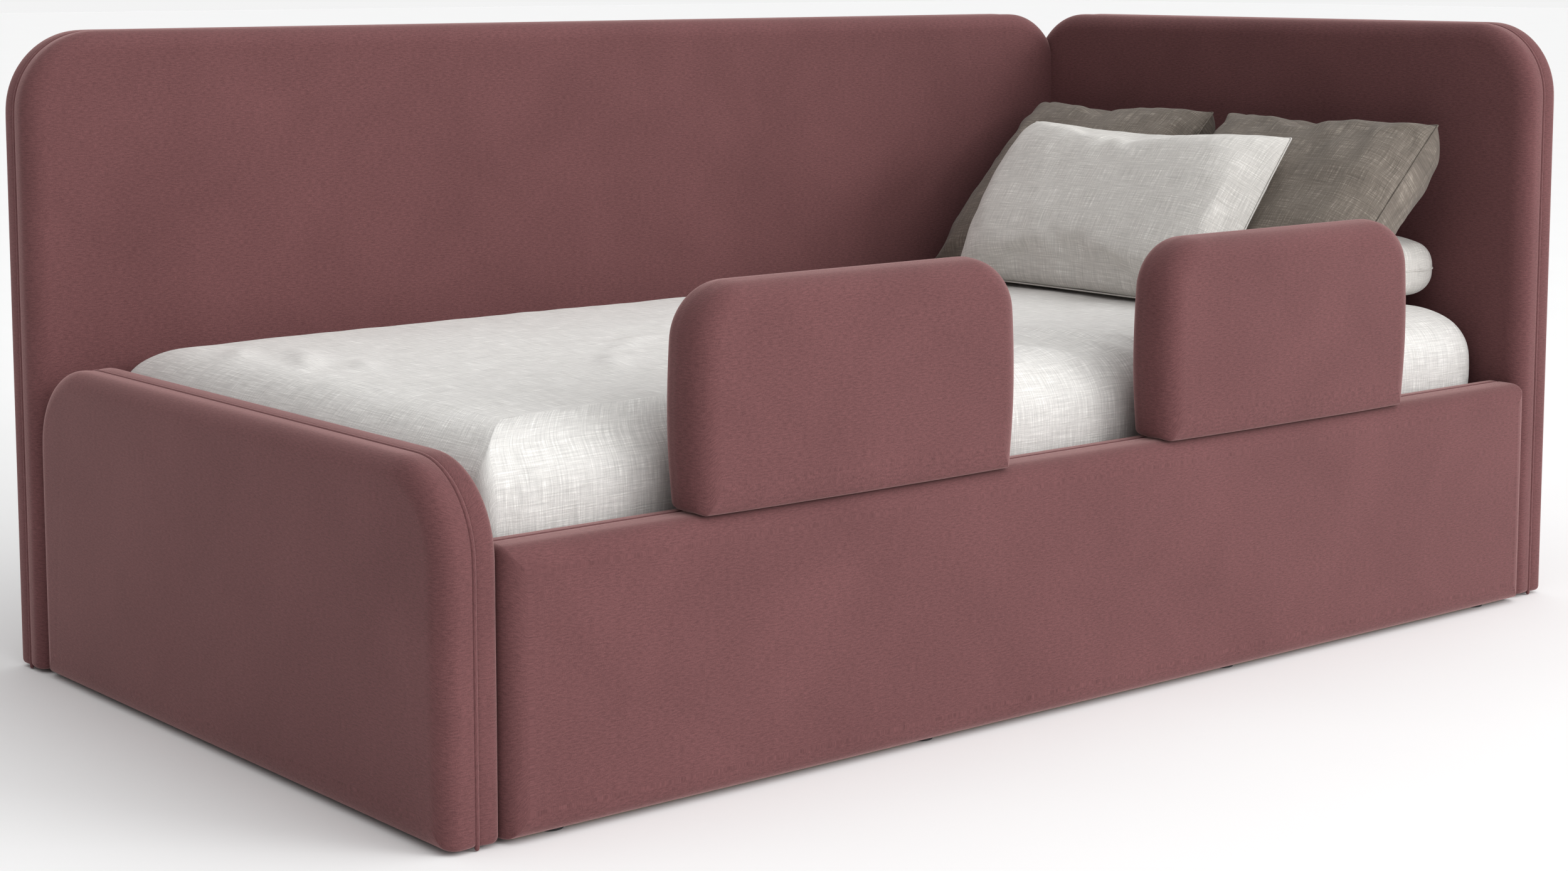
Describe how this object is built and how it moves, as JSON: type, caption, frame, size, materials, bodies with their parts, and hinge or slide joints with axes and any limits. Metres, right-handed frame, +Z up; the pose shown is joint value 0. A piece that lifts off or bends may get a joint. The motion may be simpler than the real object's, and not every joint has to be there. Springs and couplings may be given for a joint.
{
  "type": "toddler bed",
  "caption": "Velour-upholstered corner toddler bed with head, foot and back panels, lift-off guard rails, slatted base, fitted mattress and loose pillows.",
  "frame": {"origin": "on the floor, under the middle of the bed", "axes": "+X from the foot to the head, +Y from the open front to the back panel, +Z up"},
  "size_m": [1.796, 0.986, 0.785],
  "materials": {
    "velour": "short cut-pile velour in dusty rose",
    "plywood": "sanded birch plywood",
    "pine": "planed pine",
    "beech": "laminated beech, clear lacquer",
    "zinc_steel": "zinc plated",
    "black_plastic": "moulded, matt",
    "mattress_fabric": "knitted mattress ticking",
    "white_linen": "off-white slub linen",
    "grey_linen": "taupe washed linen"
  },
  "bodies": {
    "frame": {"back_panel_core": "plywood", "back_panel_padding": "velour", "back_panel_cover": "velour", "back_panel_piping": "velour", "head_panel_core": "plywood", "head_panel_padding": "velour", "head_panel_cover": "velour", "head_panel_piping": "velour", "foot_panel_core": "plywood", "foot_panel_padding": "velour", "foot_panel_cover": "velour", "foot_panel_piping": "velour", "front_panel_core": "plywood", "front_panel_padding": "velour", "front_panel_lining": "velour", "rail_sleeves": "zinc_steel", "front_ledge": "pine", "back_ledge": "pine", "head_ledge": "pine", "foot_ledge": "pine", "corner_brackets": "zinc_steel", "bracket_bolts": "zinc_steel", "ledge_bolts": "zinc_steel", "floor_glides": "black_plastic"},
    "guard_rail_left": {"guard_rail_left_core": "plywood", "guard_rail_left_padding": "velour", "guard_rail_left_pins": "zinc_steel"},
    "guard_rail_right": {"guard_rail_right_core": "plywood", "guard_rail_right_padding": "velour", "guard_rail_right_pins": "zinc_steel"},
    "slatted_base": {"base_front_rail": "pine", "base_back_rail": "pine", "base_head_rail": "pine", "base_foot_rail": "pine", "slats": "beech", "slat_holders": "black_plastic", "base_screws": "zinc_steel"},
    "mattress": {"mattress": "mattress_fabric", "fitted_sheet": "white_linen"},
    "low_pillow": {"low_pillow": "white_linen"},
    "grey_pillow_back": {"grey_pillow_back": "grey_linen"},
    "grey_pillow_front": {"grey_pillow_front": "grey_linen"},
    "front_pillow": {"front_pillow": "white_linen"}
  },
  "joints": [
    {"name": "left_rail_lift", "type": "slide", "parent": "frame", "child": "guard_rail_left", "axis": [0, 0, 1], "range_m": [0, 0.25]},
    {"name": "right_rail_lift", "type": "slide", "parent": "frame", "child": "guard_rail_right", "axis": [0, 0, 1], "range_m": [0, 0.25]},
    {"name": "base_lift", "type": "slide", "parent": "frame", "child": "slatted_base", "axis": [0, 0, 1], "range_m": [0, 0.6]},
    {"name": "mattress_lift", "type": "slide", "parent": "slatted_base", "child": "mattress", "axis": [0, 0, 1], "range_m": [0, 0.45]},
    {"name": "low_pillow_lift", "type": "slide", "parent": "mattress", "child": "low_pillow", "axis": [0, 0, 1], "range_m": [0, 0.4]},
    {"name": "back_grey_pillow_lift", "type": "slide", "parent": "low_pillow", "child": "grey_pillow_back", "axis": [0, 0, 1], "range_m": [0, 0.4]},
    {"name": "front_grey_pillow_lift", "type": "slide", "parent": "grey_pillow_back", "child": "grey_pillow_front", "axis": [0, 0, 1], "range_m": [0, 0.4]},
    {"name": "front_pillow_lift", "type": "slide", "parent": "grey_pillow_front", "child": "front_pillow", "axis": [0, 0, 1], "range_m": [0, 0.4]}
  ]
}
